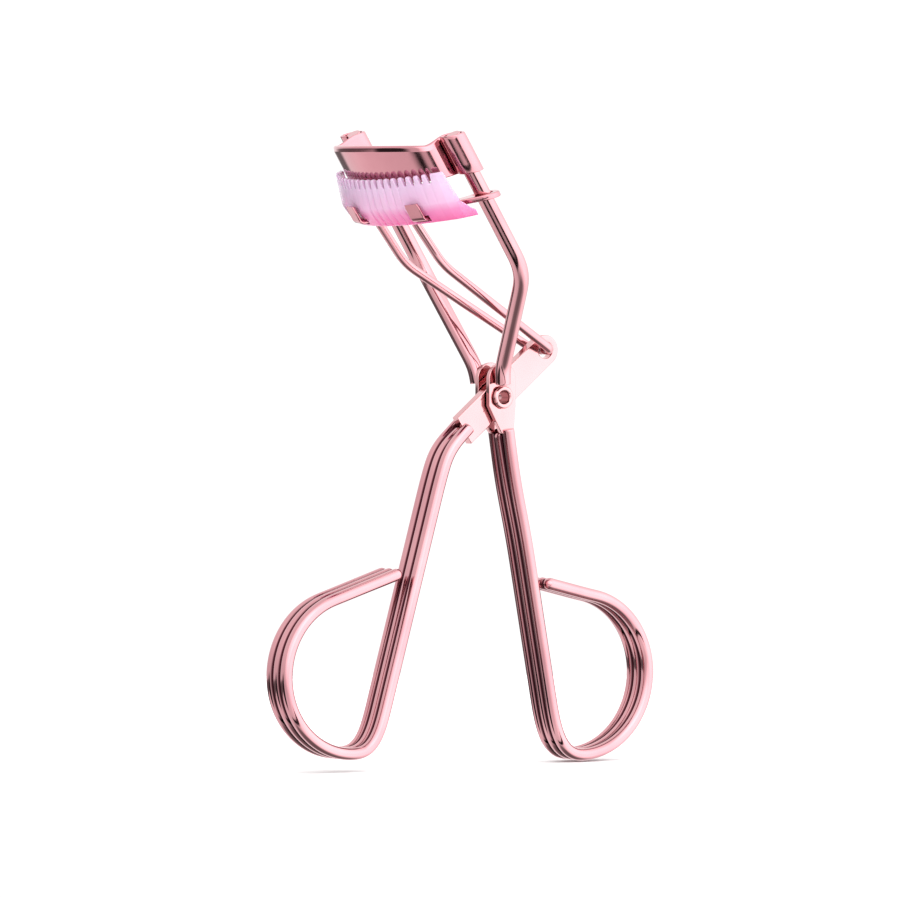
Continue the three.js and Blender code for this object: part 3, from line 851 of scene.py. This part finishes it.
# ---- Silicone pad ---------------------------------------------------------------------------------------
def pad_mesh():
    """A strip with a rounded crown, all along the channel."""
    inner = JAW_RADIUS - PAD_HALF_WIDTH
    outer = JAW_RADIUS + PAD_HALF_WIDTH
    profile = [(inner + 0.1, PAD_BOTTOM), (outer - 0.1, PAD_BOTTOM), (outer, PAD_BOTTOM + 0.1)]
    for k in range(17):
        turn = math.pi * k / 16
        profile.append((
            JAW_RADIUS + PAD_HALF_WIDTH * math.cos(turn),
            PAD_TOP - PAD_CROWN + PAD_CROWN * math.sin(turn) ** 0.7))
    profile.append((inner, PAD_BOTTOM + 0.1))
    bm = bmesh.new()
    reach = CHANNEL_HALF_ANGLE - PAD_END_GAP
    swept_on_jaw(bm, profile, -reach, reach, 72)
    return to_mesh(bm)


piece("silicone_pad", pad_mesh(), PAD_SILICONE)


# ---- Comb guard -----------------------------------------------------------------------------------------
def comb_ring(top, groove, station):
    """The comb's wall at one place: its outer face from bottom to top, and its inner face back down."""
    tip_outer = COMB_TIP_INNER + COMB_WALL
    slope = (tip_outer - COMB_KNEE_OUTER) / (COMB_TOP - COMB_KNEE)
    bottom_outer = COMB_INNER + COMB_WALL
    lower_slope = (COMB_KNEE_OUTER - bottom_outer) / (COMB_KNEE - COMB_BOTTOM)
    low = COMB_BOTTOM + COMB_EDGE
    high = top - COMB_EDGE
    knee_at = min(COMB_KNEE, (COMB_BOTTOM + top) / 2)
    heights = [low + (knee_at - low) * k / 8 for k in range(9)]
    heights += [knee_at + (high - knee_at) * k / 10 for k in range(1, 11)]
    outer = [
        (COMB_KNEE_OUTER + (slope if height > COMB_KNEE else lower_slope) * (height - COMB_KNEE), height)
        for height in heights
    ]
    for _ in range(3):
        inner_run = [
            ((a[0] + 2 * b[0] + c[0]) / 4, (a[1] + 2 * b[1] + c[1]) / 4)
            for a, b, c in zip(outer, outer[1:], outer[2:])
        ]
        outer = [outer[0], *inner_run, outer[-1]]
    wall = [(radius - COMB_WALL, height) for radius, height in reversed(outer)]
    outer = [(radius - groove, height) for radius, height in outer]
    half_wall = COMB_WALL / 2
    cap_centre = outer[-1][0] - half_wall
    base_centre = bottom_outer - half_wall
    cap = []
    base = []
    for k in range(1, 6):
        turn = math.pi * k / 6
        cap.append((cap_centre + half_wall * math.cos(turn), high + COMB_EDGE * math.sin(turn)))
        base.append((base_centre - half_wall * math.cos(turn), low - COMB_EDGE * math.sin(turn)))
    return [station(r, t) for r, t in outer + cap + wall + base]


def comb_mesh():
    """A toothed skirt round the jaws' curve, with a low tail at each end that turns back to the guide."""
    pitch = 2 * JAW_HALF_ANGLE / COMB_TEETH
    per_tooth = 16
    slot_share = COMB_SLOT_WIDTH / (JAW_RADIUS * pitch)
    rings = []
    shapes = []
    for i in range(COMB_TEETH * per_tooth + 1):
        angle = -JAW_HALF_ANGLE + pitch * i / per_tooth
        phase = i / per_tooth
        from_slot = abs(phase - round(phase))
        at_end = phase < 0.5 or phase > COMB_TEETH - 0.5
        slot = 0.0 if at_end else 1 - smooth_step((from_slot - slot_share * 0.32) / (slot_share * 0.42))
        crown = 0.0 if at_end else COMB_CROWN * (1 - min(1.0, 2 * from_slot)) ** 2
        top = COMB_TOP - COMB_SLOT_DEPTH * slot - crown * (1 - slot)
        depth = GROOVE_DEEP if DEEP_GROOVES[0] < angle < DEEP_GROOVES[1] else GROOVE_SHALLOW
        groove = 0.0 if at_end else depth * math.exp(-(from_slot / GROOVE_WIDTH) ** 2)
        shapes.append((angle, top, groove))
    for side in (-1, 1):
        tail = []
        root = jaw_plan(side * JAW_HALF_ANGLE).to_2d()
        along = Vector((side * math.cos(COMB_TAIL_TURN), -math.sin(COMB_TAIL_TURN)))
        outward = Vector((side * math.sin(COMB_TAIL_TURN), math.cos(COMB_TAIL_TURN)))
        for k in range(1, 25):
            share = k / 24
            distance = COMB_TAIL_LENGTH * share
            fall = COMB_TAIL_DROP * smooth_step((share - 0.16) / 0.16)
            fall += COMB_TAIL_TAPER * smooth_step((share - 0.25) / 0.75)

            def station(radius, height, distance=distance):
                plan = root + along * distance + outward * (radius - JAW_RADIUS)
                return head(plan.x, plan.y, height)

            tail.append(comb_ring(COMB_TOP - fall, 0.0, station))
        if side == -1:
            rings = list(reversed(tail))
            for angle, top, groove in shapes:
                rings.append(comb_ring(top, groove, lambda r, t, a=angle: on_jaw(r, a, t)))
        else:
            rings += tail
    bm = bmesh.new()
    loft(bm, rings)
    return to_mesh(bm)


def cut_windows(obj):
    """Cuts a window in the comb's wall for each clip."""
    bm = bmesh.new()
    for angle in CLIP_ANGLES:
        half = (CLIP_WIDTH / 2 + CLIP_WINDOW_GAP) / CLIP_INNER
        bottom = CLIP_FOOT - CLIP_WINDOW_GAP
        top = CLIP_FOOT + CLIP_SHEET + CLIP_WINDOW_GAP
        low, high = COMB_INNER - 1, CLIP_INNER + 1
        window = [(low, bottom), (high, bottom), (high, top), (low, top)]
        swept_on_jaw(bm, window, angle - half, angle + half, 4)
    cutter_mesh = to_mesh(bm)
    cutter_mesh.transform(TO_FRAME)
    cutter = bpy.data.objects.new("window_cutter", cutter_mesh)
    bpy.context.scene.collection.objects.link(cutter)
    boolean = obj.modifiers.new("windows", "BOOLEAN")
    boolean.object = cutter
    boolean.operation = "DIFFERENCE"
    boolean.solver = "EXACT"
    graph = bpy.context.evaluated_depsgraph_get()
    cut = bpy.data.meshes.new_from_object(obj.evaluated_get(graph))
    obj.modifiers.remove(boolean)
    bpy.data.objects.remove(cutter)
    obj.data = cut


comb = piece("comb_guard", comb_mesh(), COMB_PLASTIC)
cut_windows(comb)


# ---- Floor, light and camera ----------------------------------------------------------------------------
FLOOR_RADIUS = 0.26  # metres
FLOOR_GAP = 0.0002


def floor():
    mesh = bpy.data.meshes.new("floor")
    bm = bmesh.new()
    bmesh.ops.create_circle(bm, cap_ends=True, segments=128, radius=FLOOR_RADIUS)
    bm.to_mesh(mesh)
    bm.free()
    obj = bpy.data.objects.new("floor", mesh)
    bpy.context.scene.collection.objects.link(obj)
    obj.location = (0, 0, cad_box[0][2] - FLOOR_GAP)
    material, tree, shader = new_material("floor_white")
    shader.inputs["Roughness"].default_value = 0.9
    tint = ramp(tree, noise(tree, 3.0), [(0.3, (0.80, 0.80, 0.80)), (0.7, (0.83, 0.83, 0.83))])
    tree.links.new(tint, shader.inputs["Base Color"])
    mesh.materials.append(material)
    obj.visible_glossy = False  # polished metal shows the room all round instead


CAMERA_AZIMUTH = math.radians(-34)
CAMERA_ELEVATION = math.radians(2)
CAMERA_DISTANCE = 1.6
CAMERA_AIM = PIVOT + Vector((-8.8, 0, -8.4)) * MM
CAMERA_LENS = 385.7
STUDIO_STRENGTH = 4.0
BACKDROP_STRENGTH = 1.1


def studio_light():
    """A white room to the camera. Reflections see soft boxes at the front and right, and dark flags."""
    world = bpy.data.worlds.new("studio")
    bpy.context.scene.world = world
    world.use_nodes = True
    tree = world.node_tree
    nodes = tree.nodes
    link = tree.links.new
    coordinates = nodes.new("ShaderNodeTexCoord")

    def toward(direction, stops):
        """A ramp over how squarely a ray points in a direction: -1 is away and 1 is straight at it."""
        dot = nodes.new("ShaderNodeVectorMath")
        dot.operation = "DOT_PRODUCT"
        dot.inputs[1].default_value = Vector(direction).normalized() / 2
        link(coordinates.outputs["Generated"], dot.inputs[0])
        raised = combine("ADD", dot.outputs["Value"], 0.5)
        return ramp(tree, raised, [((at + 1) / 2, (value, value, value)) for at, value in stops])

    def combine(operation, first, second):
        node = nodes.new("ShaderNodeMath")
        node.operation = operation
        for socket, value in zip(node.inputs, (first, second)):
            if isinstance(value, float):
                socket.default_value = value
            else:
                link(value, socket)
        return node.outputs["Value"]

    room = toward((0, 0, 1), [
        (-1.0, 0.06), (-0.86, 0.08), (-0.76, 0.30), (-0.5, 0.36),
        (-0.2, 0.27), (0.1, 0.30), (0.4, 0.34), (1.0, 0.36)])
    right_box = toward((0.66, -0.74, 0.12), [(0.15, 0.0), (0.6, 0.18), (0.85, 0.36), (1.0, 0.42)])
    front_box = toward((-0.45, -0.75, 0.48), [(0.72, 0.0), (0.94, 0.30)])
    light = combine("ADD", combine("ADD", room, right_box), front_box)
    # A dark flag at the left, a narrow one in front and below, and a dark shelf along the back wall.
    left_flag = toward((-0.94, 0.16, -0.31), [(0.93, 1.0), (0.965, 0.03)])
    strip = toward((-0.721, -0.252, 0.645), [(-0.06, 0.0), (-0.03, 1.0), (0.045, 1.0), (0.075, 0.0)])
    low_front = toward((-0.35, -0.62, -0.70), [(0.72, 0.0), (0.80, 1.0)])
    shelf = toward((0, 0, 1), [(-0.32, 0.0), (-0.27, 0.82), (-0.12, 0.82), (-0.07, 0.0)])
    behind = toward((-0.30, 0.95, 0), [(0.60, 0.0), (0.75, 1.0)])
    open_back = combine("SUBTRACT", 1.0, combine("MULTIPLY", shelf, behind))
    open_front = combine("SUBTRACT", 1.0, combine("MULTIPLY", strip, low_front))
    for part in (open_front, left_flag, open_back):
        light = combine("MULTIPLY", light, part)
    tint = nodes.new("ShaderNodeCombineColor")
    for socket in tint.inputs:
        if socket.name in ("Red", "Green", "Blue"):
            link(light, socket)
    background = nodes["Background"]
    link(tint.outputs["Color"], background.inputs["Color"])
    background.inputs["Strength"].default_value = STUDIO_STRENGTH
    white = nodes.new("ShaderNodeBackground")
    white.inputs["Color"].default_value = (1, 1, 1, 1)
    white.inputs["Strength"].default_value = BACKDROP_STRENGTH
    seen = nodes.new("ShaderNodeLightPath")
    choice = nodes.new("ShaderNodeMixShader")
    link(seen.outputs["Is Camera Ray"], choice.inputs["Fac"])
    link(background.outputs["Background"], choice.inputs[1])
    link(white.outputs["Background"], choice.inputs[2])
    link(choice.outputs["Shader"], nodes["World Output"].inputs["Surface"])


def photo_camera():
    data = bpy.data.cameras.new("camera")
    camera = bpy.data.objects.new("camera", data)
    bpy.context.scene.collection.objects.link(camera)
    bpy.context.scene.camera = camera
    back = Vector((
        math.sin(CAMERA_AZIMUTH) * math.cos(CAMERA_ELEVATION),
        -math.cos(CAMERA_AZIMUTH) * math.cos(CAMERA_ELEVATION),
        math.sin(CAMERA_ELEVATION)))
    camera.location = CAMERA_AIM + back * CAMERA_DISTANCE
    camera.rotation_mode = "QUATERNION"
    camera.rotation_quaternion = (-back).to_track_quat("-Z", "Y")
    data.sensor_width = 36
    data.lens = CAMERA_LENS
    data.clip_start = 0.05
    data.clip_end = 20


floor()
studio_light()
photo_camera()
bpy.context.scene.view_settings.view_transform = "Standard"
